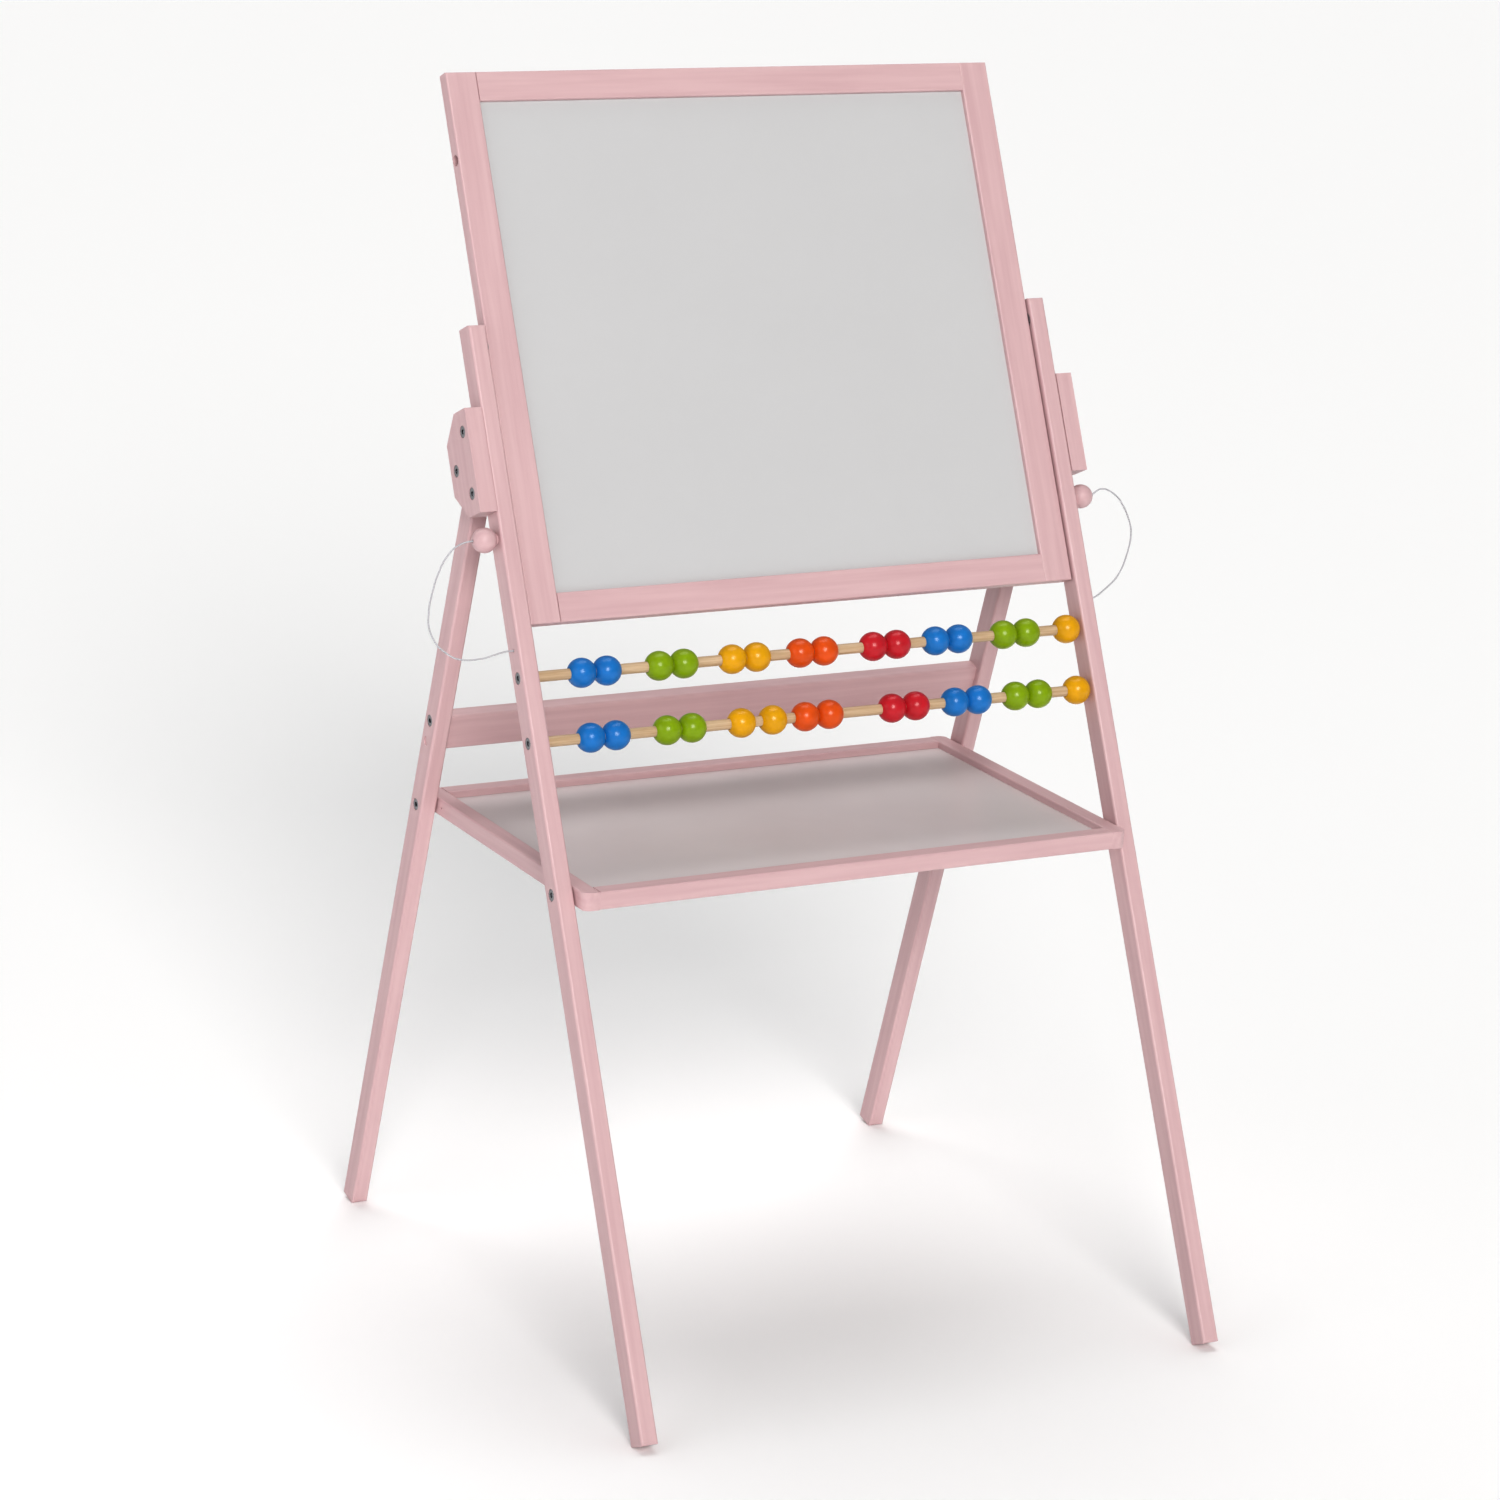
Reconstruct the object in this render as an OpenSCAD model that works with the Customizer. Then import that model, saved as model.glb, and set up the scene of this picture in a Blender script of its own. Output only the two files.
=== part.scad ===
// A two-sided kids' easel: two front legs carry a flipping board and two rods
// of counting beads, two rear legs are hinged on side plates, and a tray is
// bolted between the legs. Millimetres, +X to the right, +Y to the back, +Z up.
// The origin is on the floor, at the centre of the easel's box.

/* [Frame] */
// Clear width between the legs
inner_w = 550; // [450:5:650]
// Thickness of the legs and side plates, across the easel
leg_w = 16; // [14:1:22]
// Depth of the legs, front to back
leg_d = 22; // [20:1:28]
// Length of a front leg
front_leg_l = 961; // [900:1:1050]
// Lean of the front legs from upright, in degrees
lean_front = 25.4; // [20:0.1:28]
// Lean of the rear legs from upright, in degrees
lean_rear = 15.7; // [12:0.1:20]

/* [Board] */
// Height of the board along its stiles
board_h = 487; // [400:1:500]
// Height of the board's two rails
board_bar_w = 26; // [22:1:32]
// Width of the board's two stiles
board_stile_w = 29; // [22:1:34]
// Thickness of the board's frame
board_t = 14; // [12:1:16]
// Gap between the board and each front leg
board_gap = 1; // [1:0.1:4]
// Distance of the peg holes from the board's pivot
peg_reach = 166.5; // [120:0.5:190]

/* [Abacus] */
// Diameter of a bead
bead_d = 26; // [20:0.5:28]
// Diameter of the rods
rod_d = 9.4; // [8:0.1:12]
// Height of the upper and the lower rod along the front legs
rod_heights = [654.5, 598];

/* [Tray] */
// Depth of the tray, front to back
tray_d = 320; // [260:5:340]
// Height of the middle of the tray above the floor
tray_mid_z = 426; // [380:2:460]
// Width and height of the tray's rails
tray_bar = 16; // [14:1:18]
// Depth of the panel below the top of the rails
tray_recess = 6.5; // [5:0.5:8]

/* [Hidden] */
$fn = 48;

// Painted colours
pink = [0.91, 0.74, 0.77];
wood = [0.88, 0.76, 0.6];
steel = [0.62, 0.63, 0.65];
white = [0.85, 0.85, 0.85];
slate = [0.1, 0.11, 0.11];
grey = [0.7, 0.67, 0.67];
blue = [0.13, 0.45, 0.85];
green = [0.5, 0.72, 0.08];
yellow = [0.98, 0.7, 0.04];
orange = [0.92, 0.36, 0.1];
red = [0.83, 0.15, 0.2];

// Easing of long edges, of the legs' long edges, and of the ends of legs
edge_r = 1.5;
leg_edge_r = 2.2;
end_r = 3;

// Clearances: a turning or sliding fit, a fixed bolt in its hole, parts that pass each other
run_fit = 0.06;
bolt_fit = 0.05;
part_gap = 0.3;

// Bolts
shank_d = 6;
head_d = 10;
head_h = 3;
head_pocket_d = 10.8;
head_sunk = 0.4;
socket_d = 5;

// Places across the easel, on the right-hand side
leg_in = inner_w / 2;
leg_out = leg_in + leg_w;
plate_out = leg_out + leg_w;
leg_mid = leg_d / 2;
rear_leg_w = leg_w - part_gap;
rear_out = leg_in + rear_leg_w;

// Side plates, in the front legs' frame
plate_h = 91;
plate_up = 2;
plate_d = 46;
plate_cut = 23;
pivot_v = 35;
pivot_u = 841.5;
plate_bolt_pitch = 54;

// Lowest corner of a front leg stands on the floor
front_z = end_r + (leg_d - end_r) * sin(lean_front) - end_r * cos(lean_front);
// The pivot of the rear legs, from the front legs' foot
pivot_y_from_foot = pivot_u * sin(lean_front) + pivot_v * cos(lean_front);
pivot_z = front_z + pivot_u * cos(lean_front) - pivot_v * sin(lean_front);
// Lowest corner of a rear leg stands on the floor too
rear_leg_l = end_r + (pivot_z - end_r - (leg_mid - end_r) * sin(lean_rear)) / cos(lean_rear);
// Centre the feet on the origin, front to back
front_reach = end_r * (sin(lean_front) + cos(lean_front) - 1);
rear_reach = pivot_y_from_foot + (rear_leg_l - end_r) * sin(lean_rear)
    + (leg_mid - end_r) * cos(lean_rear) + end_r;
front_y = -(front_reach + rear_reach) / 2;
pivot_y = front_y + pivot_y_from_foot;

// Board, in the front legs' frame
board_half_w = leg_in - board_gap;
board_u = front_leg_l - 19;
board_v = leg_mid - board_t / 2;
stile_in = board_half_w - board_stile_w;
panel_t = 2.5;
panel_tongue = 5;
panel_step = 1;
panel_fit = 0.05;
pin_d = 8;
pin_in_stile = 16;
pin_in_leg = 11;
washer_d = 16;
washer_t = board_gap - part_gap;
dowel_d = 6;
dowel_l = 30;

// Pegs
peg_d = 9.6;
peg_hole_d = 10;
peg_hole_depth = 12;
ball_d = 22;
peg_u = board_u - peg_reach;
peg_tip = board_half_w - peg_hole_depth + 0.5;
ball_x = leg_out + ball_d / 2 + 0.2;

// Cords
cord_d = 1.5;
cord_hole_d = 3;
cord_sides = 8;
cord_leg_u = 678.5;
cord_leg_depth = 8;
cord_ball_depth = 6;

// Rods and beads
bead_hole_d = rod_d + 2 * part_gap;
bead_l = sqrt(bead_d * bead_d - bead_hole_d * bead_hole_d);
rod_in_leg = 6;
screw_d = 4;
beads_per_rod = 15;
bead_colours = [blue, green, yellow, orange, red, blue, green, yellow];
// Middle of each pair of beads, then the last bead, which touches the right leg
last_bead_x = leg_in - part_gap - bead_l / 2;
pair_x = [
    [-218, -143, -71, -3, 71.5, 136, 207.5],
    [-219, -145, -68.5, -8, 80.5, 145.5, 209.5]
];
// Extra space between the two beads of a pair
pair_space = [[0, 0, 0, 0, 0, 0, 0], [0, 0, 7, 0, 0, 0, 0]];

// Crossbar and its fixings, measured down the rear legs from the pivot
crossbar_h = 34;
crossbar_t = 14;
crossbar_down = 264;
crossbar_back = 2;
crossbar_bolt_down = 253;
crossbar_dowel_down = 274;
crossbar_dowel_d = 8;
crossbar_dowel_sunk = 1;

// Tray
tray_gap = 1;
tray_half_w = leg_in - tray_gap;
tray_in = tray_half_w - tray_bar;
tray_front_overhang = 28;
tray_bolt_u = (tray_mid_z - front_z + leg_mid * sin(lean_front)) / cos(lean_front);
tray_bolt_y = front_y + tray_bolt_u * sin(lean_front) + leg_mid * cos(lean_front);
tray_bolt_down = (pivot_z - tray_mid_z) / cos(lean_rear);
tray_y0 = tray_bolt_y - tray_front_overhang;
tray_z0 = tray_mid_z - tray_bar / 2;
tray_panel_z = tray_z0 + tray_bar - tray_recess;
tray_panel_t = 3;
tray_tongue = 4;
tray_bolt_grip = 10;
tray_corner_r = 9;
nail_hole_d = 2.4;
nail_hole_depth = 1.2;
nail_in = 37;

// Routes of the two cords in the front legs' frame: [across, back, up along the leg],
// from inside the peg's ball to inside the leg
cord_route_left = [
    [-307.5, 11, 775.5], [-313.5, 11, 775.5], [-319, 11, 775], [-325, 12, 773.5], [-331, 13, 770.5],
    [-336, 14, 766], [-341, 16, 760], [-345, 17, 753.5], [-349, 18, 746.5], [-352, 19, 739.5],
    [-355, 20, 732], [-358, 20, 724.5], [-360, 20, 717], [-361.5, 20, 709.5], [-361.5, 19, 702],
    [-360, 18, 695], [-357, 17, 688.5], [-352, 15, 682.5], [-346, 14, 677.5], [-339, 13, 675],
    [-332, 13, 674], [-325, 12, 674], [-318, 12, 674.5], [-311, 11, 676], [-304, 11, 677.5],
    [-297, 11, 678.5], [-291, 11, 678.5], [-283, 11, 678.5]
];
cord_route_right = [
    [307.5, 11, 775.5], [313.5, 11, 775.5], [319, 12, 778.5], [325, 13, 781], [331, 14, 781.5],
    [337, 16, 780], [343, 17, 776.5], [348, 18, 772], [352, 20, 767], [356, 22, 760.5],
    [359, 24, 753], [361, 26, 745], [360, 27, 737], [357, 27, 729.5], [353, 27, 722],
    [348.5, 27, 714.5], [343, 26, 707.5], [337, 25, 701.5], [330, 23, 696.5], [323, 21, 692.5],
    [316, 18, 689], [309, 15, 685.5], [302, 12.5, 682.5], [296, 11.5, 680.5], [290, 11, 678.5],
    [283, 11, 678.5]
];

fixed_nodes = [
    "front_leg_left", "front_leg_right", "hinge_plate_left", "hinge_plate_right",
    "abacus_rod_upper", "abacus_rod_lower", "frame_bolts",
    "rear_leg_left", "rear_leg_right", "rear_crossbar", "rear_bolts", "crossbar_dowels",
    "tray_front_rail", "tray_rear_rail", "tray_side_rail_left", "tray_side_rail_right",
    "tray_panel",
    "board_stile_left", "board_stile_right", "board_top_rail", "board_bottom_rail",
    "board_dowels", "whiteboard_panel", "chalkboard_panel", "board_pivot_pins",
    "pivot_washers", "peg_left", "peg_right", "peg_cord_left", "peg_cord_right"
];
rod_names = ["upper", "lower"];
function bead_name(row, i) = str("bead_", rod_names[row], i < 9 ? "_0" : "_", i + 1);

// --- Frames ---------------------------------------------------------------

// Front legs' frame: x across, y back from the legs' front face, z up the legs
module in_front_frame() {
    translate([0, front_y, front_z]) rotate([-lean_front, 0, 0]) children();
}

// Rear legs' frame: origin on the pivot, z up the legs
module in_rear_frame() {
    translate([0, pivot_y, pivot_z]) rotate([lean_rear, 0, 0]) children();
}

// Everything is drawn for the right-hand side and mirrored for the left
module on_side(side) {
    if (side > 0) children();
    else mirror([1, 0, 0]) children();
}

module both_sides() {
    for (side = [-1, 1]) on_side(side) children();
}

// --- Shapes ---------------------------------------------------------------

module rounded_rect(w, h, r) {
    translate([r, 0]) square([w - 2 * r, h]);
    translate([0, r]) square([w, h - 2 * r]);
    for (x = [r, w - r], y = [r, h - r]) translate([x, y]) circle(r);
}

// A bar along X with eased long edges
module bar_x(l, d, h, r = edge_r) {
    rotate([90, 0, 90]) linear_extrude(l) rounded_rect(d, h, r);
}

// A bar along Y with eased long edges
module bar_y(w, l, h, r = edge_r) {
    translate([0, l, 0]) rotate([90, 0, 0]) linear_extrude(l) rounded_rect(w, h, r);
}

// A bar along Z with eased long edges, and its ends rounded as seen from the side
module bar_z(w, d, l, r = edge_r, r_end = end_r) {
    intersection() {
        linear_extrude(l) rounded_rect(w, d, r);
        rotate([90, 0, 90]) linear_extrude(w) rounded_rect(d, l, r_end);
    }
}

// A round solid along X between two places
module round_x(x0, x1, y, z, d) {
    translate([x0, y, z]) rotate([0, 90, 0]) cylinder(d = d, h = x1 - x0);
}

// A furniture bolt along X: its head is outermost, at x_head, and its tip at x_tip
module bolt(x_tip, x_head, y, z, d = shank_d) {
    difference() {
        union() {
            round_x(x_tip, x_head, y, z, d);
            round_x(x_head - head_h, x_head, y, z, head_d);
        }
        translate([x_head - head_h / 2, y, z]) rotate([0, 90, 0])
            cylinder(d = socket_d, h = head_h, $fn = 6);
    }
}

// The hole that such a bolt fits, from a face at x_face
module bolt_hole(x_tip, x_face, y, z, d = shank_d) {
    round_x(x_tip, x_face + 1, y, z, d + 2 * bolt_fit);
    round_x(x_face - head_sunk - head_h - bolt_fit, x_face + 1, y, z, head_pocket_d);
}

// --- Front frame ----------------------------------------------------------

module front_leg() {
    difference() {
        translate([leg_in, 0, 0]) bar_z(leg_w, leg_d, front_leg_l, leg_edge_r);
        // Plate screws, blind
        for (u = plate_bolt_places())
            round_x(leg_in + 4, leg_out + 1, leg_mid, u, shank_d + 2 * bolt_fit);
        // Rod sockets, and the screws that hold the rods
        for (u = rod_heights) {
            bolt_hole(leg_in, leg_out, leg_mid, u, screw_d);
            round_x(leg_in - 1, leg_in + rod_in_leg, leg_mid, u, rod_d + 2 * bolt_fit);
        }
        // Tray bolt
        bolt_hole(leg_in - 1, leg_out, leg_mid, tray_bolt_u);
        // Peg, board pivot and cord
        round_x(leg_in - 1, leg_out + 1, leg_mid, peg_u, peg_d + 2 * run_fit);
        round_x(leg_in - 1, leg_in + pin_in_leg + 0.5, leg_mid, board_u, pin_d + 2 * run_fit);
        round_x(leg_out - cord_leg_depth, leg_out + 1, leg_mid, cord_leg_u, cord_hole_d);
    }
}

function plate_bolt_places() = [for (s = [-1, 1]) pivot_u + plate_up + s * plate_bolt_pitch / 2];

module hinge_plate() {
    low = pivot_u + plate_up - plate_h / 2;
    high = pivot_u + plate_up + plate_h / 2;
    difference() {
        translate([leg_out, 0, 0]) rotate([90, 0, 90]) linear_extrude(leg_w) polygon([
            [0, low], [plate_d - plate_cut, low], [plate_d, low + plate_cut],
            [plate_d, high - plate_cut], [plate_d - plate_cut, high], [0, high]
        ]);
        for (u = plate_bolt_places()) bolt_hole(leg_out - 1, plate_out, leg_mid, u);
        bolt_hole(leg_out - 1, plate_out, pivot_v, pivot_u);
    }
}

module abacus_rod(u) {
    reach = leg_in + rod_in_leg;
    screw_depth = 12;
    difference() {
        round_x(-reach, reach, leg_mid, u, rod_d);
        both_sides() round_x(reach - screw_depth, reach + 1, leg_mid, u, screw_d + 2 * bolt_fit);
    }
}

// Plate, pivot, rod and tray bolts of the front frame
module frame_bolts() {
    rod_screw_l = 20;
    nut_h = 3.4;
    both_sides() {
        for (u = plate_bolt_places()) bolt(leg_in + 4.2, plate_out - head_sunk, leg_mid, u);
        for (u = rod_heights)
            bolt(leg_out - rod_screw_l, leg_out - head_sunk, leg_mid, u, screw_d);
        bolt(tray_half_w - tray_bolt_grip + 0.4, leg_out - head_sunk, leg_mid, tray_bolt_u);
        // The pivot bolt ends in a sleeve nut on the inside of the rear leg
        bolt(leg_in + 0.4, plate_out - head_sunk, pivot_v, pivot_u);
        difference() {
            round_x(leg_in + 0.4, leg_in + 0.4 + nut_h, pivot_v, pivot_u, head_d);
            round_x(leg_in, leg_in + 0.4 + nut_h + 1, pivot_v, pivot_u, shank_d);
        }
    }
}

// --- Rear frame -----------------------------------------------------------

module rear_leg() {
    nut_pocket = 4.1;
    bar_hole_y = crossbar_back - 1;
    difference() {
        intersection() {
            translate([leg_in, -leg_mid, -rear_leg_l])
                linear_extrude(rear_leg_l + leg_mid) rounded_rect(rear_leg_w, leg_d, leg_edge_r);
            // Half-round top about the pivot, eased foot
            translate([leg_in, 0, 0]) rotate([90, 0, 90]) linear_extrude(rear_leg_w) union() {
                circle(leg_mid);
                translate([-leg_mid, -rear_leg_l]) square_eased_foot();
            }
        }
        round_x(leg_in - 1, leg_out + 1, 0, 0, shank_d + 2 * run_fit);
        round_x(leg_in - 1, leg_in + nut_pocket, 0, 0, head_d + 2 * part_gap);
        bolt_hole(leg_in - 1, rear_out, bar_hole_y, -crossbar_bolt_down);
        round_x(leg_in - 1, leg_out + 1, bar_hole_y, -crossbar_dowel_down,
            crossbar_dowel_d + 2 * bolt_fit);
        bolt_hole(leg_in - 1, rear_out, 0, -tray_bolt_down);
    }
}

// Side outline of a rear leg below its pivot
module square_eased_foot() {
    translate([end_r, 0]) square([leg_d - 2 * end_r, rear_leg_l]);
    translate([0, end_r]) square([leg_d, rear_leg_l - end_r]);
    for (y = [end_r, leg_d - end_r]) translate([y, end_r]) circle(end_r);
}

module rear_crossbar() {
    bar_hole_y = crossbar_back - 1;
    difference() {
        translate([-leg_in, crossbar_back - crossbar_t / 2, -crossbar_down - crossbar_h / 2])
            bar_x(inner_w, crossbar_t, crossbar_h, 2);
        both_sides() {
            round_x(leg_in - 20.2, leg_in + 1, bar_hole_y, -crossbar_bolt_down,
                shank_d + 2 * bolt_fit);
            round_x(leg_in - 15.2, leg_in + 1, bar_hole_y, -crossbar_dowel_down,
                crossbar_dowel_d + 2 * bolt_fit);
        }
    }
}

// Crossbar bolts, and the tray's rear bolts, which stop at the legs' inner faces
module rear_bolts() {
    both_sides() {
        bolt(leg_in - 20, rear_out - head_sunk, crossbar_back - 1, -crossbar_bolt_down);
        bolt(leg_in + 0.2, rear_out - head_sunk, 0, -tray_bolt_down);
    }
}

module crossbar_dowels() {
    both_sides()
        round_x(leg_in - 15, rear_out - crossbar_dowel_sunk, crossbar_back - 1,
            -crossbar_dowel_down, crossbar_dowel_d);
}

// --- Tray -----------------------------------------------------------------

// The part of the panel that sits in the rails' grooves
module tray_panel_tongue(grow = 0) {
    w = tray_in + tray_tongue + grow;
    l = tray_d - 2 * (tray_bar - tray_tongue - grow);
    tongue_t = tray_panel_t - panel_step;
    translate([-w, tray_y0 + tray_bar - tray_tongue - grow, tray_panel_z - tray_panel_t - grow])
        cube([2 * w, l, tongue_t + 2 * grow]);
}

module tray_board() {
    w = tray_in - panel_fit;
    l = tray_d - 2 * (tray_bar + panel_fit);
    tray_panel_tongue();
    translate([-w, tray_y0 + tray_bar + panel_fit, tray_panel_z - tray_panel_t])
        cube([2 * w, l, tray_panel_t]);
}

module tray_side_rail() {
    outline_w = tray_bar + tray_corner_r;
    difference() {
        intersection() {
            translate([tray_in, tray_y0, tray_z0]) bar_y(tray_bar, tray_d, tray_bar);
            // Round corners on the outside only
            translate([tray_in - tray_corner_r, tray_y0, tray_z0])
                linear_extrude(tray_bar) rounded_rect(outline_w, tray_d, tray_corner_r);
        }
        tray_panel_tongue(panel_fit);
        for (y = [tray_bolt_y, pivot_y + tray_bolt_down * sin(lean_rear)])
            round_x(tray_half_w - tray_bolt_grip, tray_half_w + 1, y, tray_mid_z,
                shank_d + 2 * run_fit);
        // Small nail holes
        for (y = [tray_y0 + nail_in, tray_y0 + tray_d - nail_in])
            round_x(tray_half_w - nail_hole_depth, tray_half_w + 1, y, tray_mid_z, nail_hole_d);
    }
}

module tray_cross_rail(y0) {
    difference() {
        translate([-tray_in, y0, tray_z0]) bar_x(2 * tray_in, tray_bar, tray_bar);
        tray_panel_tongue(panel_fit);
    }
}

// --- Board ----------------------------------------------------------------

module board_panel_slab(y0, t, over, grow = 0) {
    w = stile_in + over + grow;
    h = board_h / 2 - board_bar_w + over + grow;
    translate([-w, y0 - grow, board_u - h]) cube([2 * w, t + 2 * grow, 2 * h]);
}

// A writing panel, in front (-1) or behind (1), with a thinner tongue round it
module writing_panel(side) {
    tongue_t = panel_t - panel_step;
    board_panel_slab(leg_mid - (side < 0 ? panel_t : 0), panel_t, -panel_fit);
    board_panel_slab(leg_mid - (side < 0 ? tongue_t : 0), tongue_t, panel_tongue);
}

module panel_groove() {
    tongue_t = panel_t - panel_step;
    board_panel_slab(leg_mid - tongue_t, 2 * tongue_t, panel_tongue, panel_fit);
}

// One dowel across each corner joint
module board_dowel_places() {
    for (s = [-1, 1])
        translate([0, 0, board_u + s * (board_h - board_bar_w) / 2]) children();
}

module board_stile() {
    difference() {
        translate([stile_in, board_v, board_u - board_h / 2])
            bar_z(board_stile_w, board_t, board_h, edge_r, edge_r);
        panel_groove();
        // Pivot pin
        round_x(board_half_w - pin_in_stile, board_half_w + 1, leg_mid, board_u,
            pin_d + 2 * bolt_fit);
        // Peg holes, one on each side of the pivot
        for (s = [-1, 1])
            round_x(board_half_w - peg_hole_depth, board_half_w + 1, leg_mid,
                board_u + s * peg_reach, peg_hole_d);
        board_dowel_places()
            round_x(stile_in - 1, stile_in + dowel_l / 2 + 0.2, leg_mid, 0,
                dowel_d + 2 * bolt_fit);
    }
}

module board_rail(z0) {
    difference() {
        translate([-stile_in, board_v, z0]) bar_x(2 * stile_in, board_t, board_bar_w);
        panel_groove();
        board_dowel_places() both_sides()
            round_x(stile_in - dowel_l / 2 - 0.2, stile_in + 1, leg_mid, 0,
                dowel_d + 2 * bolt_fit);
    }
}

module board_dowels() {
    board_dowel_places() both_sides()
        round_x(stile_in - dowel_l / 2, stile_in + dowel_l / 2, leg_mid, 0, dowel_d);
}

module board_pivot_pins() {
    both_sides()
        round_x(board_half_w - pin_in_stile + 0.2, leg_in + pin_in_leg, leg_mid, board_u, pin_d);
}

module pivot_washers() {
    both_sides() difference() {
        round_x(board_half_w, board_half_w + washer_t, leg_mid, board_u, washer_d);
        round_x(board_half_w - 1, board_half_w + washer_t + 1, leg_mid, board_u,
            pin_d + 2 * bolt_fit);
    }
}

// --- Pegs and cords -------------------------------------------------------

module peg() {
    difference() {
        union() {
            translate([ball_x, leg_mid, peg_u]) rotate([0, 90, 0]) sphere(d = ball_d);
            round_x(peg_tip, ball_x, leg_mid, peg_u, peg_d);
        }
        round_x(ball_x + ball_d / 2 - cord_ball_depth, ball_x + ball_d, leg_mid, peg_u,
            cord_hole_d);
    }
}

function unit(v) = v / norm(v);
// Direction of a route at one of its points
function route_dir(p, i) = unit(p[min(i + 1, len(p) - 1)] - p[max(i - 1, 0)]);

// A round tube swept along a route's own points, ring by ring
module cord_tube(route) {
    n = len(route);
    ring = [for (i = [0 : n - 1])
        let (
            dir = route_dir(route, i),
            side = unit(cross(dir, [0, 1, 0])),
            up = cross(side, dir)
        )
        for (k = [0 : cord_sides - 1])
            let (a = 360 * k / cord_sides)
            route[i] + cord_d / 2 * (cos(a) * side + sin(a) * up)
    ];
    walls = [for (i = [0 : n - 2], k = [0 : cord_sides - 1])
        let (a = i * cord_sides, b = (k + 1) % cord_sides)
        [a + k, a + b, a + cord_sides + b, a + cord_sides + k]
    ];
    first = [for (k = [cord_sides - 1 : -1 : 0]) k];
    last = [for (k = [0 : cord_sides - 1]) (n - 1) * cord_sides + k];
    polyhedron(ring, concat([first], walls, [last]));
}

// --- Beads ----------------------------------------------------------------

// Place of bead i along its rod
function bead_x(row, i) =
    let (pair = floor(i / 2), half = (bead_l + part_gap) / 2)
    pair >= len(pair_x[row]) ? last_bead_x
    : pair_x[row][pair] + (i % 2 == 0 ? -1 : 1) * (half + pair_space[row][pair] / 2);

module bead(row, i) {
    x = bead_x(row, i);
    u = rod_heights[row];
    color(bead_colours[floor(i / 2)]) in_front_frame() difference() {
        translate([x, leg_mid, u]) rotate([0, 90, 0]) sphere(d = bead_d);
        round_x(x - bead_d, x + bead_d, leg_mid, u, bead_hole_d);
    }
}

// --- Nodes ----------------------------------------------------------------

module front_leg_left() { color(pink) in_front_frame() on_side(-1) front_leg(); }
module front_leg_right() { color(pink) in_front_frame() on_side(1) front_leg(); }
module hinge_plate_left() { color(pink) in_front_frame() on_side(-1) hinge_plate(); }
module hinge_plate_right() { color(pink) in_front_frame() on_side(1) hinge_plate(); }
module abacus_rod_upper() { color(wood) in_front_frame() abacus_rod(rod_heights[0]); }
module abacus_rod_lower() { color(wood) in_front_frame() abacus_rod(rod_heights[1]); }
module all_frame_bolts() { color(steel) in_front_frame() frame_bolts(); }
module rear_leg_left() { color(pink) in_rear_frame() on_side(-1) rear_leg(); }
module rear_leg_right() { color(pink) in_rear_frame() on_side(1) rear_leg(); }
module whole_crossbar() { color(pink) in_rear_frame() rear_crossbar(); }
module all_rear_bolts() { color(steel) in_rear_frame() rear_bolts(); }
module all_crossbar_dowels() { color(pink) in_rear_frame() crossbar_dowels(); }
module tray_front_rail() { color(pink) tray_cross_rail(tray_y0); }
module tray_rear_rail() { color(pink) tray_cross_rail(tray_y0 + tray_d - tray_bar); }
module tray_side_rail_left() { color(pink) on_side(-1) tray_side_rail(); }
module tray_side_rail_right() { color(pink) on_side(1) tray_side_rail(); }
module tray_panel() { color(grey) tray_board(); }
module board_stile_left() { color(pink) in_front_frame() on_side(-1) board_stile(); }
module board_stile_right() { color(pink) in_front_frame() on_side(1) board_stile(); }
module board_top_rail() {
    color(pink) in_front_frame() board_rail(board_u + board_h / 2 - board_bar_w);
}
module board_bottom_rail() { color(pink) in_front_frame() board_rail(board_u - board_h / 2); }
module all_board_dowels() { color(wood) in_front_frame() board_dowels(); }
module whiteboard_panel() { color(white) in_front_frame() writing_panel(-1); }
module chalkboard_panel() { color(slate) in_front_frame() writing_panel(1); }
module all_pivot_pins() { color(steel) in_front_frame() board_pivot_pins(); }
module all_washers() { color(steel) in_front_frame() pivot_washers(); }
module peg_left() { color(pink) in_front_frame() on_side(-1) peg(); }
module peg_right() { color(pink) in_front_frame() on_side(1) peg(); }
module peg_cord_left() { color("white") in_front_frame() cord_tube(cord_route_left); }
module peg_cord_right() { color("white") in_front_frame() cord_tube(cord_route_right); }

front_leg_left();
front_leg_right();
hinge_plate_left();
hinge_plate_right();
abacus_rod_upper();
abacus_rod_lower();
all_frame_bolts();  // frame_bolts
rear_leg_left();
rear_leg_right();
whole_crossbar();  // rear_crossbar
all_rear_bolts();  // rear_bolts
all_crossbar_dowels();  // crossbar_dowels
tray_front_rail();
tray_rear_rail();
tray_side_rail_left();
tray_side_rail_right();
tray_panel();
board_stile_left();
board_stile_right();
board_top_rail();
board_bottom_rail();
all_board_dowels();  // board_dowels
whiteboard_panel();
chalkboard_panel();
all_pivot_pins();  // board_pivot_pins
all_washers();  // pivot_washers
peg_left();
peg_right();
peg_cord_left();
peg_cord_right();
for (row = [0, 1], i = [0 : beads_per_rod - 1])
    bead(row, i);
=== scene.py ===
import math

import bpy
from mathutils import Matrix, Vector


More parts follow.
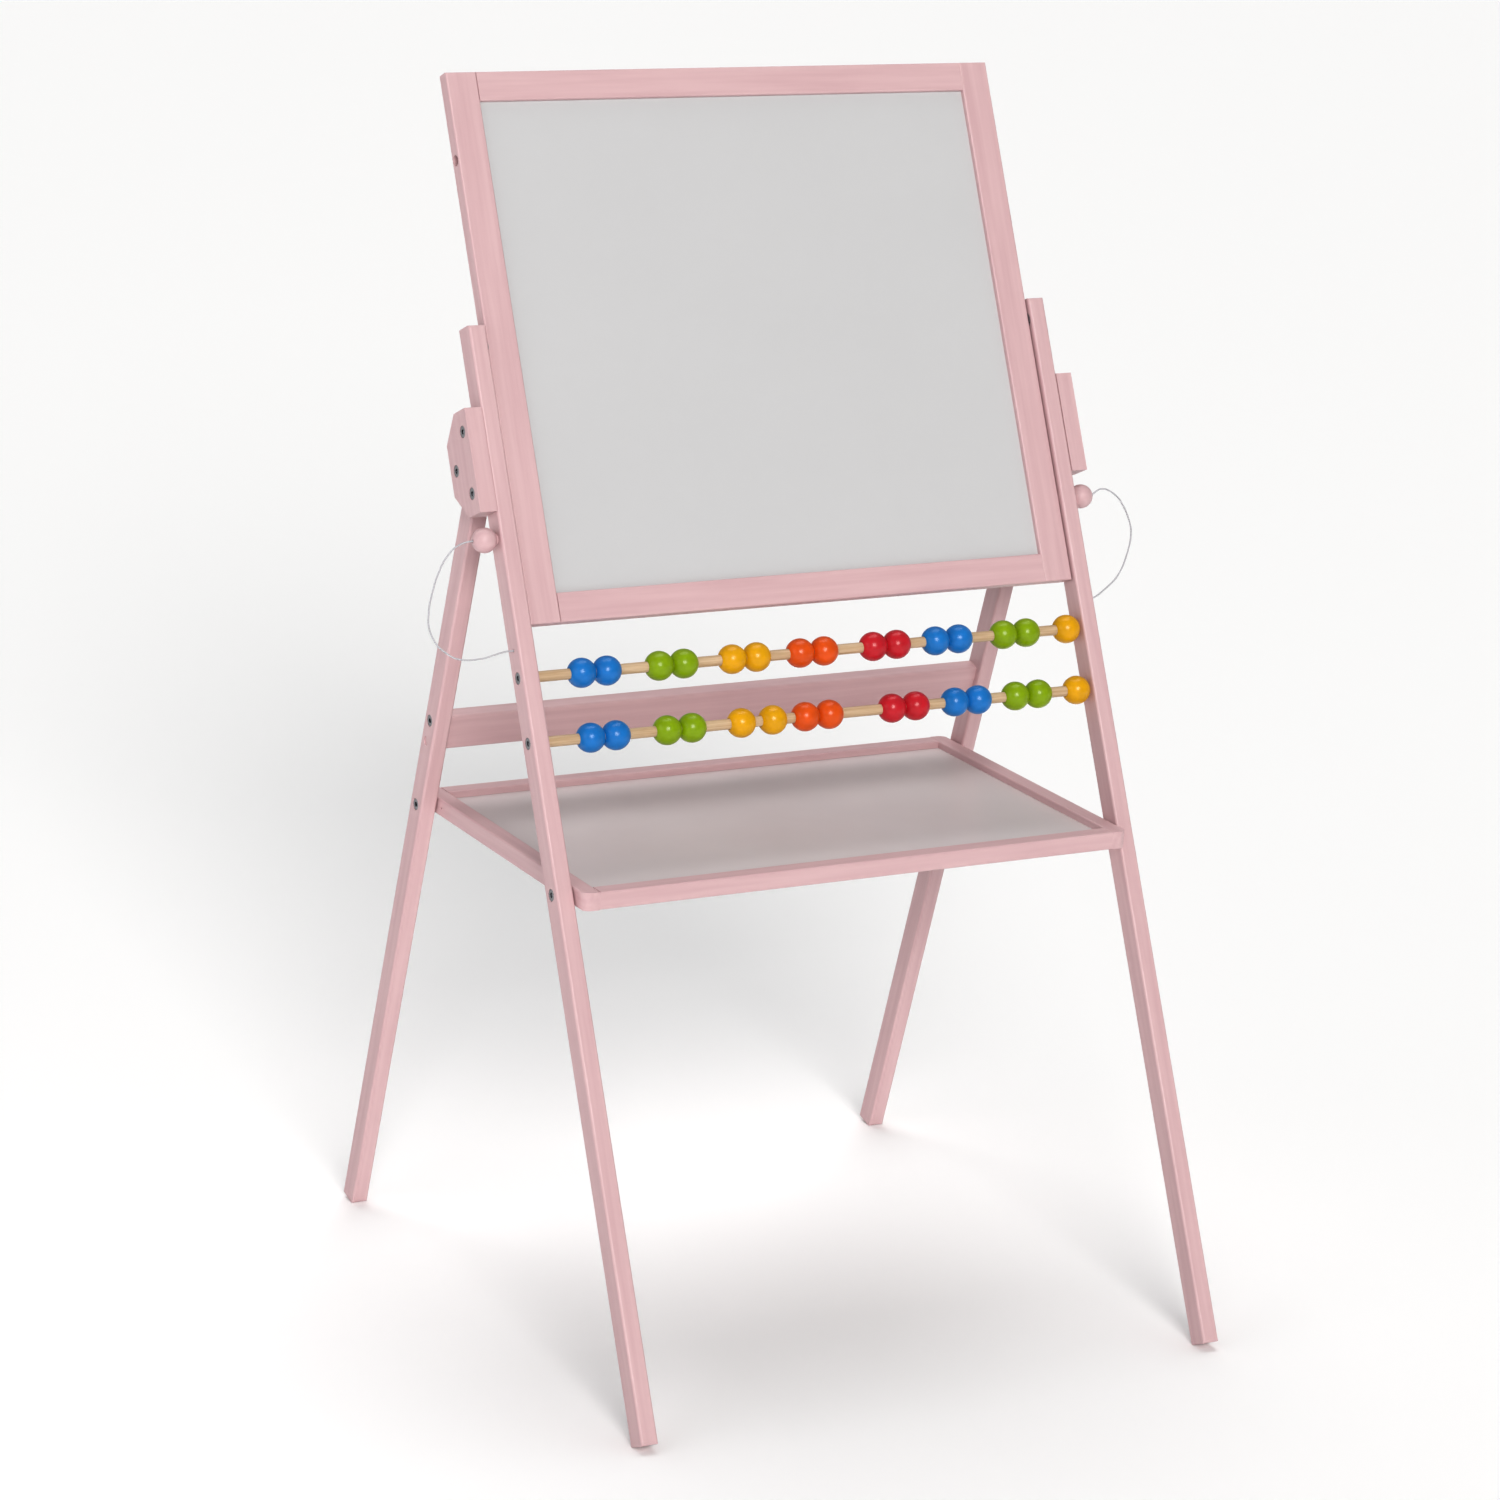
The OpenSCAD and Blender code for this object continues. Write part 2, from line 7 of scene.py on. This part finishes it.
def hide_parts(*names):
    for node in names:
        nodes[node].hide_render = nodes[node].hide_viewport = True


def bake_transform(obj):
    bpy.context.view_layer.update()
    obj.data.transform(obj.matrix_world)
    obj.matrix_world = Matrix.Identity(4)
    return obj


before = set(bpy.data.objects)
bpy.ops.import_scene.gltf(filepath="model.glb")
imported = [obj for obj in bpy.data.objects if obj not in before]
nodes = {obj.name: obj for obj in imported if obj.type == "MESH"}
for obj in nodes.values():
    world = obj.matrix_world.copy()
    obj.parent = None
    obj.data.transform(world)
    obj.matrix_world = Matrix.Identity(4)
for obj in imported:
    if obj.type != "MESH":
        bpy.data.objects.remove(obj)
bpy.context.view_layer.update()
scene = bpy.context.scene

# --- Camera ---------------------------------------------------------------

CAMERA_PLACE = (-1.9403, -3.3133, 1.6167)
CAMERA_YAW = 29.70
CAMERA_PITCH = 16.254
CAMERA_ROLL = 3.272
CAMERA_LENS = 107.85
SENSOR_WIDTH = 36
CLIP_NEAR, CLIP_FAR = 0.1, 60


def make_camera():
    yaw, pitch, roll = (math.radians(a) for a in (CAMERA_YAW, CAMERA_PITCH, CAMERA_ROLL))
    forward = Vector((
        math.sin(yaw) * math.cos(pitch),
        math.cos(yaw) * math.cos(pitch),
        -math.sin(pitch),
    ))
    level = Vector((math.cos(yaw), -math.sin(yaw), 0))
    upright = level.cross(forward)
    right = math.cos(roll) * level + math.sin(roll) * upright
    up = -math.sin(roll) * level + math.cos(roll) * upright
    turn = Matrix((right, up, -forward)).transposed()
    data = bpy.data.cameras.new("camera")
    data.sensor_width = SENSOR_WIDTH
    data.lens = CAMERA_LENS
    data.clip_start, data.clip_end = CLIP_NEAR, CLIP_FAR
    camera = bpy.data.objects.new("camera", data)
    camera.matrix_world = Matrix.Translation(CAMERA_PLACE) @ turn.to_4x4()
    scene.collection.objects.link(camera)
    scene.camera = camera


make_camera()

# --- The front legs' frame ------------------------------------------------

LEAN_FRONT = math.radians(25.4)
LEAN_REAR = math.radians(15.7)
FRONT_FOOT = Vector((0, -0.307318, 0.00844))


def on_front(x, back, along):
    """A point given across the easel, back from the front legs' face, and along them from the foot."""
    return FRONT_FOOT + Vector((
        x,
        along * math.sin(LEAN_FRONT) + back * math.cos(LEAN_FRONT),
        along * math.cos(LEAN_FRONT) - back * math.sin(LEAN_FRONT),
    ))


# --- Shader helpers -------------------------------------------------------


def new_material(name, color, roughness, **inputs):
    m = bpy.data.materials.new(name)
    m.use_nodes = True
    shader = m.node_tree.nodes["Principled BSDF"]
    shader.inputs["Base Color"].default_value = (*color, 1)
    shader.inputs["Roughness"].default_value = roughness
    for key, value in inputs.items():
        shader.inputs[key.replace("_", " ")].default_value = value
    return m, m.node_tree, shader


def srgb(r, g, b):
    """A colour given in 0 to 255 as seen, made linear."""
    out = []
    for c in (r, g, b):
        c /= 255
        out.append(c / 12.92 if c <= 0.04045 else ((c + 0.055) / 1.055) ** 2.4)
    return tuple(out)


def add(tree, kind, **settings):
    node = tree.nodes.new(kind)
    for key, value in settings.items():
        setattr(node, key, value)
    return node


GRAIN_STRETCH = 0.045


def grain_coords(tree, lean, along):
    """Coordinates in which the grain runs along one axis: lean turns the row frame about X first."""
    coords = add(tree, "ShaderNodeTexCoord")
    turn = add(tree, "ShaderNodeMapping", vector_type="POINT")
    turn.inputs["Rotation"].default_value = (lean, 0, 0)
    tree.links.new(coords.outputs["Object"], turn.inputs["Vector"])
    stretch = add(tree, "ShaderNodeMapping", vector_type="POINT")
    stretch.inputs["Scale"].default_value = tuple(
        GRAIN_STRETCH if a == along else 1 for a in "XYZ"
    )
    tree.links.new(turn.outputs["Vector"], stretch.inputs["Vector"])
    return stretch.outputs["Vector"]


def mixed(tree, factor, low, high):
    """Mixes two colours by factor and returns the socket."""
    mix = add(tree, "ShaderNodeMix", data_type="RGBA")
    mix.inputs["A"].default_value = (*low, 1)
    mix.inputs["B"].default_value = (*high, 1)
    tree.links.new(factor, mix.inputs["Factor"])
    return mix.outputs["Result"]


def ranged(tree, value, low, high, out_low=0, out_high=1):
    """Maps value from low..high to out_low..out_high, without going past them."""
    node = add(tree, "ShaderNodeMapRange")
    limits = {"From Min": low, "From Max": high, "To Min": out_low, "To Max": out_high}
    for key, number in limits.items():
        node.inputs[key].default_value = number
    tree.links.new(value, node.inputs["Value"])
    return node.outputs["Result"]


def bump(tree, shader, height, strength, distance):
    node = add(tree, "ShaderNodeBump")
    node.inputs["Strength"].default_value = strength
    node.inputs["Distance"].default_value = distance
    tree.links.new(height, node.inputs["Height"])
    tree.links.new(node.outputs["Normal"], shader.inputs["Normal"])


def noise(tree, vector, scale, detail=4, roughness=0.5):
    node = add(tree, "ShaderNodeTexNoise")
    node.inputs["Scale"].default_value = scale
    node.inputs["Detail"].default_value = detail
    node.inputs["Roughness"].default_value = roughness
    tree.links.new(vector, node.inputs["Vector"])
    return node.outputs["Fac"]


PINK = srgb(212, 182, 184)
PINK_GRAIN = srgb(204, 172, 175)


def painted_wood(name, lean, along):
    """Thin satin paint with the wood's grain showing through."""
    m, tree, shader = new_material(name, PINK, 0.42)
    vector = grain_coords(tree, lean, along)
    fine = noise(tree, vector, 900, 5, 0.6)
    broad = noise(tree, vector, 160, 3)
    base = mixed(tree, ranged(tree, broad, 0.35, 0.7), PINK, PINK_GRAIN)
    tree.links.new(base, shader.inputs["Base Color"])
    tree.links.new(ranged(tree, fine, 0.3, 0.7, 0.36, 0.5), shader.inputs["Roughness"])
    bump(tree, shader, fine, 0.25, 0.0004)
    return m


paint_front = painted_wood("painted_front", LEAN_FRONT, "Z")
paint_rear = painted_wood("painted_rear", -LEAN_REAR, "Z")
paint_x = painted_wood("painted_across", 0, "X")
paint_y = painted_wood("painted_deep", 0, "Y")


def natural_wood(name, color, dark, along):
    m, tree, shader = new_material(name, color, 0.5)
    vector = grain_coords(tree, 0, along)
    grain = noise(tree, vector, 420, 5, 0.6)
    base = mixed(tree, ranged(tree, grain, 0.35, 0.7), color, dark)
    tree.links.new(base, shader.inputs["Base Color"])
    bump(tree, shader, grain, 0.2, 0.0003)
    return m


rod_wood = natural_wood("rod_wood", srgb(209, 185, 155), srgb(184, 155, 121), "X")


BEAD_SHADE = 0.86


def lacquered_bead(name, color):
    m, tree, shader = new_material(
        name, color, 0.32, Specular_IOR_Level=0.3, Coat_Weight=0.22, Coat_Roughness=0.1
    )
    coords = add(tree, "ShaderNodeTexCoord")
    spots = noise(tree, coords.outputs["Object"], 90, 3)
    deep = tuple(c * BEAD_SHADE for c in color)
    base = mixed(tree, ranged(tree, spots, 0.35, 0.65), deep, color)
    tree.links.new(base, shader.inputs["Base Color"])
    orange_peel = noise(tree, coords.outputs["Object"], 700, 2)
    bump(tree, shader, orange_peel, 0.08, 0.0003)
    return m


BEAD_COLOURS = {
    "blue": srgb(30, 124, 196),
    "green": srgb(140, 170, 4),
    "yellow": srgb(224, 168, 2),
    "orange": srgb(222, 92, 18),
    "red": srgb(198, 36, 50),
}
BEAD_ORDER = ["blue", "green", "yellow", "orange", "red", "blue", "green", "yellow"]
bead_paint = {name: lacquered_bead("bead_" + name, color) for name, color in BEAD_COLOURS.items()}


def zinc(name):
    m, tree, shader = new_material(name, srgb(140, 142, 146), 0.3, Metallic=1.0)
    coords = add(tree, "ShaderNodeTexCoord")
    cloudy = noise(tree, coords.outputs["Object"], 500, 4)
    base = mixed(tree, cloudy, srgb(118, 120, 124), srgb(158, 159, 162))
    tree.links.new(base, shader.inputs["Base Color"])
    tree.links.new(ranged(tree, cloudy, 0.3, 0.7, 0.24, 0.42), shader.inputs["Roughness"])
    return m


zinc_steel = zinc("zinc_steel")


def panel_face(name, color, stain, roughness, specks):
    """A smooth lacquered panel with a very faint cloudiness."""
    m, tree, shader = new_material(name, color, roughness)
    coords = add(tree, "ShaderNodeTexCoord")
    clouds = noise(tree, coords.outputs["Object"], 9, 4)
    base = mixed(tree, ranged(tree, clouds, 0.35, 0.7), color, stain)
    tree.links.new(base, shader.inputs["Base Color"])
    bump(tree, shader, noise(tree, coords.outputs["Object"], 1800, 3), specks, 0.0002)
    return m


whiteboard = panel_face("whiteboard", srgb(201, 201, 202), srgb(200, 200, 201), 0.24, 0.05)
chalkboard = panel_face("chalkboard", srgb(42, 45, 45), srgb(54, 57, 57), 0.85, 0.5)
tray_board = panel_face("tray_board", srgb(212, 205, 205), srgb(207, 199, 199), 0.36, 0.1)


def braided_cord(name):
    m, tree, shader = new_material(name, srgb(198, 197, 201), 0.7, Sheen_Weight=0.2)
    coords = add(tree, "ShaderNodeTexCoord")
    wave = add(tree, "ShaderNodeTexWave", wave_type="BANDS", bands_direction="DIAGONAL")
    wave.inputs["Scale"].default_value = 330
    wave.inputs["Distortion"].default_value = 1.5
    tree.links.new(coords.outputs["Object"], wave.inputs["Vector"])
    base = mixed(tree, wave.outputs["Fac"], srgb(164, 163, 168), srgb(208, 207, 211))
    tree.links.new(base, shader.inputs["Base Color"])
    bump(tree, shader, wave.outputs["Fac"], 0.5, 0.0003)
    return m


cord_yarn = braided_cord("cord_yarn")

# --- Cords ----------------------------------------------------------------

CORD_D = 0.0015
CORD_SIDES = 12
CORD_STEPS = 4
# [across, back, along the leg], in millimetres, in the front legs' frame
CORD_ROUTES = {
    "left": [
        (-307.5, 11, 775.5), (-313.5, 11, 775.5), (-319, 11, 775), (-325, 12, 773.5), (-331, 13, 770.5),
        (-336, 14, 766), (-341, 16, 760), (-345, 17, 753.5), (-349, 18, 746.5), (-352, 19, 739.5),
        (-355, 20, 732), (-358, 20, 724.5), (-360, 20, 717), (-361.5, 20, 709.5), (-361.5, 19, 702),
        (-360, 18, 695), (-357, 17, 688.5), (-352, 15, 682.5), (-346, 14, 677.5), (-339, 13, 675),
        (-332, 13, 674), (-325, 12, 674), (-318, 12, 674.5), (-311, 11, 676), (-304, 11, 677.5),
        (-297, 11, 678.5), (-291, 11, 678.5), (-283, 11, 678.5),
    ],
    "right": [
        (307.5, 11, 775.5), (313.5, 11, 775.5), (319, 12, 778.5), (325, 13, 781), (331, 14, 781.5),
        (337, 16, 780), (343, 17, 776.5), (348, 18, 772), (352, 20, 767), (356, 22, 760.5),
        (359, 24, 753), (361, 26, 745), (360, 27, 737), (357, 27, 729.5), (353, 27, 722),
        (348.5, 27, 714.5), (343, 26, 707.5), (337, 25, 701.5), (330, 23, 696.5), (323, 21, 692.5),
        (316, 18, 689), (309, 15, 685.5), (302, 12.5, 682.5), (296, 11.5, 680.5), (290, 11, 678.5),
        (283, 11, 678.5),
    ],
}


def smoothed(points, steps):
    """A smooth line through the points."""
    ends = [2 * points[0] - points[1], *points, 2 * points[-1] - points[-2]]
    out = []
    for p0, p1, p2, p3 in zip(ends, ends[1:], ends[2:], ends[3:]):
        for i in range(steps):
            t = i / steps
            out.append(0.5 * (
                2 * p1 + (p2 - p0) * t
                + (2 * p0 - 5 * p1 + 4 * p2 - p3) * t ** 2
                + (3 * p1 - p0 - 3 * p2 + p3) * t ** 3
            ))
    return out + [points[-1]]


def new_object(name, vertices, faces, material):
    mesh = bpy.data.meshes.new(name)
    mesh.from_pydata(vertices, [], faces)
    mesh.materials.append(material)
    mesh.shade_smooth()
    obj = bpy.data.objects.new(name, mesh)
    scene.collection.objects.link(obj)
    return obj


def tube(name, line, radius, sides, material):
    """A closed tube along a line, its rings turned as little as they can be."""
    vertices, faces = [], []
    across = (line[1] - line[0]).orthogonal().normalized()
    for i, point in enumerate(line):
        along = (line[min(i + 1, len(line) - 1)] - line[max(i - 1, 0)]).normalized()
        across = (across - across.dot(along) * along).normalized()
        other = along.cross(across)
        for k in range(sides):
            a = 2 * math.pi * k / sides
            vertices.append(point + radius * (math.cos(a) * across + math.sin(a) * other))
    for i in range(len(line) - 1):
        for k in range(sides):
            a, b = i * sides + k, i * sides + (k + 1) % sides
            faces.append((a, b, b + sides, a + sides))
    faces.append(tuple(reversed(range(sides))))
    faces.append(tuple(len(vertices) - sides + k for k in range(sides)))
    return new_object(name, vertices, faces, material)


def make_cord(side):
    points = [on_front(*(c / 1000 for c in p)) for p in CORD_ROUTES[side]]
    line = smoothed(points, CORD_STEPS)
    cord = tube("cord_" + side, line, CORD_D / 2, CORD_SIDES, cord_yarn)
    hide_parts("peg_cord_" + side)
    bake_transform(cord)


for side in ("left", "right"):
    make_cord(side)

# --- Finishes of the frame's own pieces -----------------------------------


def finish_of(name):
    if name.startswith("bead_"):
        return bead_paint[BEAD_ORDER[(int(name[-2:]) - 1) // 2]]
    if name.startswith("abacus_rod") or name == "board_dowels":
        return rod_wood
    if name in ("frame_bolts", "rear_bolts", "board_pivot_pins", "pivot_washers"):
        return zinc_steel
    if name.startswith("peg_cord"):
        return cord_yarn
    special = {"whiteboard_panel": whiteboard, "chalkboard_panel": chalkboard, "tray_panel": tray_board}
    if name in special:
        return special[name]
    if name.startswith("rear_leg") or name == "crossbar_dowels":
        return paint_rear
    if name.startswith("tray_side"):
        return paint_y
    if name.startswith(("tray_", "board_top", "board_bottom", "rear_crossbar", "peg_")):
        return paint_x
    return paint_front


for name, obj in nodes.items():
    material = finish_of(name)
    if not obj.material_slots:
        obj.data.materials.append(material)
    for material_slot in obj.material_slots:
        material_slot.material = material

# --- Floor and light ------------------------------------------------------


FLOOR_HALF = 60
FLOOR_WHITE = (0.95, 0.95, 0.95)
SKY_LIGHT = 0.3
SKY_SHOWN = 0.93


def make_floor():
    corners = [(x * FLOOR_HALF, y * FLOOR_HALF, 0) for x, y in ((-1, -1), (1, -1), (1, 1), (-1, 1))]
    mesh = bpy.data.meshes.new("floor")
    mesh.from_pydata(corners, [], [(0, 1, 2, 3)])
    floor = bpy.data.objects.new("floor", mesh)
    white = new_material("floor_white", FLOOR_WHITE, 0.9, Specular_IOR_Level=0.1)[0]
    mesh.materials.append(white)
    scene.collection.objects.link(floor)


def soft_sun(name, azimuth, elevation, power, spread, color):
    """A broad, distant light. Azimuth 0 is in front of the easel and negative is to its left."""
    data = bpy.data.lights.new(name, "SUN")
    data.energy = power
    data.color = color
    data.angle = math.radians(spread)
    a, e = math.radians(azimuth), math.radians(elevation)
    back = Vector((math.sin(a) * math.cos(e), -math.cos(a) * math.cos(e), math.sin(e)))
    light = bpy.data.objects.new(name, data)
    light.rotation_mode = "QUATERNION"
    light.rotation_quaternion = (-back).to_track_quat("-Z", "Y")
    scene.collection.objects.link(light)


def side_softbox(place, size, power, color):
    """A near softbox that faces across the easel, so the left legs get more of it than the right."""
    data = bpy.data.lights.new("side_softbox", "AREA")
    data.shape = "RECTANGLE"
    data.size, data.size_y = size
    data.energy = power
    data.color = color
    light = bpy.data.objects.new("side_softbox", data)
    light.location = place
    light.rotation_mode = "QUATERNION"
    light.rotation_quaternion = Vector((1, 0.1, 0)).to_track_quat("-Z", "Y")
    light.visible_camera = False
    scene.collection.objects.link(light)


def make_sky():
    """A white backdrop above the floor's far edge, which lights the easel less than it shows."""
    world = bpy.data.worlds.new("world")
    world.use_nodes = True
    tree = world.node_tree
    sky = tree.nodes["Background"]
    sky.inputs["Color"].default_value = (1, 1, 1, 1)
    rays = add(tree, "ShaderNodeLightPath")
    strength = ranged(tree, rays.outputs["Is Camera Ray"], 0, 1, SKY_LIGHT, SKY_SHOWN)
    tree.links.new(strength, sky.inputs["Strength"])
    scene.world = world


make_floor()
soft_sun("key", -18, 27, 2.2, 26, (1, 0.985, 0.965))
soft_sun("back_top", 165, 66, 1.4, 50, (1, 1, 1))
side_softbox((-1.45, -0.25, 1.1), (1.1, 0.9), 3.5, (0.98, 0.95, 1))
make_sky()
scene.view_settings.view_transform = "Standard"
scene.view_settings.gamma = 0.8
